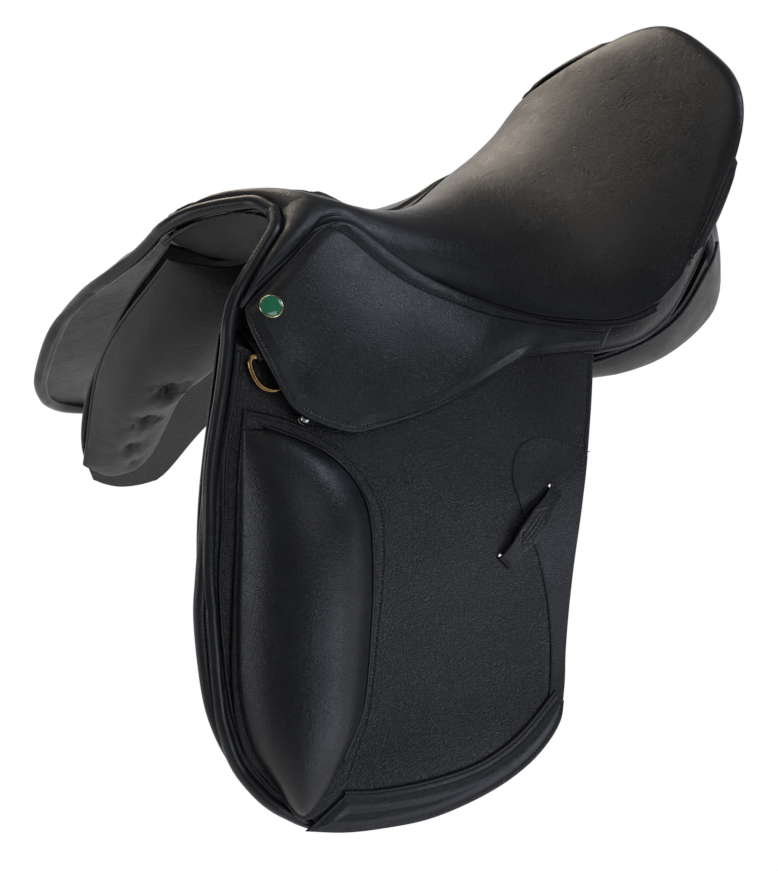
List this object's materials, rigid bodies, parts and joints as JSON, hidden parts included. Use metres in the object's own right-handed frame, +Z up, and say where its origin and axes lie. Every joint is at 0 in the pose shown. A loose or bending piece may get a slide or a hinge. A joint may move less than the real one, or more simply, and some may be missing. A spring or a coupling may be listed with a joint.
{
  "type": "dressage saddle",
  "caption": "Black leather dressage saddle with a deep seat, straight flaps, large thigh blocks, flocked panels, stirrup bars and girth straps.",
  "frame": {"origin": "on the middle plane between the two panels, where the horse's back or a rack carries the saddle", "axes": "+X to the saddle's left (near) side, -Y to the front (pommel), +Z up"},
  "size_m": [0.6306, 0.5833, 0.4641],
  "materials": {
    "laminate": "laminated beech, satin",
    "webbing": "woven, matte",
    "foam": "matte",
    "steel": "satin",
    "smooth_leather": "smooth, low sheen",
    "grained_leather": "pebbled grain",
    "strap_leather": "edged strap leather",
    "brass": "aged, polished",
    "nickel": "polished nickel",
    "green_enamel": "glossy enamel"
  },
  "bodies": {
    "saddle": {"badge_disc_left": "green_enamel", "badge_disc_right": "green_enamel", "badge_rim_left": "brass", "badge_rim_right": "brass", "block_border_left": "smooth_leather", "block_border_right": "smooth_leather", "cantle_facing": "smooth_leather", "d_ring_chape_left": "strap_leather", "d_ring_chape_right": "strap_leather", "flap_facing_left": "smooth_leather", "flap_facing_right": "smooth_leather", "flap_left": "grained_leather", "flap_right": "grained_leather", "flap_roll_left": "smooth_leather", "flap_roll_right": "smooth_leather", "flap_stud_left": "nickel", "flap_stud_right": "nickel", "gullet_lining": "smooth_leather", "gullet_plate": "steel", "keeper_left": "smooth_leather", "keeper_right": "smooth_leather", "panel_left": "smooth_leather", "panel_right": "smooth_leather", "pommel_roll": "smooth_leather", "seat_cover": "smooth_leather", "seat_foam": "foam", "seat_webbing": "webbing", "skirt_left": "smooth_leather", "skirt_right": "smooth_leather", "stirrup_bar_left": "steel", "stirrup_bar_right": "steel", "sweat_flap_left": "grained_leather", "sweat_flap_right": "grained_leather", "thigh_block_left": "smooth_leather", "thigh_block_right": "smooth_leather", "tree": "laminate"},
    "d_ring_left": {"d_ring_left": "brass"},
    "bar_catch_left": {"bar_catch_left": "steel"},
    "billet_front_left": {"billet_front_left": "strap_leather"},
    "billet_rear_left": {"billet_rear_left": "strap_leather"},
    "d_ring_right": {"d_ring_right": "brass"},
    "bar_catch_right": {"bar_catch_right": "steel"},
    "billet_front_right": {"billet_front_right": "strap_leather"},
    "billet_rear_right": {"billet_rear_right": "strap_leather"}
  },
  "joints": [
    {"name": "d_ring_swing_left", "type": "hinge", "parent": "saddle", "child": "d_ring_left", "pos_m": [0.1035, -0.239, 0.0455], "axis": [0, -1, 0], "range_deg": [0, 15]},
    {"name": "bar_catch_turn_left", "type": "hinge", "parent": "saddle", "child": "bar_catch_left", "pos_m": [0.084, -0.109, 0.015], "axis": [1, 0, 0], "range_deg": [0, 45]},
    {"name": "billet_front_swing_left", "type": "hinge", "parent": "saddle", "child": "billet_front_left", "pos_m": [0.108, -0.15, 0.002], "axis": [1, 0, 0], "range_deg": [-20, 20]},
    {"name": "billet_rear_swing_left", "type": "hinge", "parent": "saddle", "child": "billet_rear_left", "pos_m": [0.112, -0.1, 0.002], "axis": [1, 0, 0], "range_deg": [-20, 20]},
    {"name": "d_ring_swing_right", "type": "hinge", "parent": "saddle", "child": "d_ring_right", "pos_m": [-0.1035, -0.239, 0.0455], "axis": [0, 1, 0], "range_deg": [0, 15]},
    {"name": "bar_catch_turn_right", "type": "hinge", "parent": "saddle", "child": "bar_catch_right", "pos_m": [-0.084, -0.109, 0.015], "axis": [1, 0, 0], "range_deg": [0, 45]},
    {"name": "billet_front_swing_right", "type": "hinge", "parent": "saddle", "child": "billet_front_right", "pos_m": [-0.108, -0.15, 0.002], "axis": [1, 0, 0], "range_deg": [-20, 20]},
    {"name": "billet_rear_swing_right", "type": "hinge", "parent": "saddle", "child": "billet_rear_right", "pos_m": [-0.112, -0.1, 0.002], "axis": [1, 0, 0], "range_deg": [-20, 20]}
  ]
}
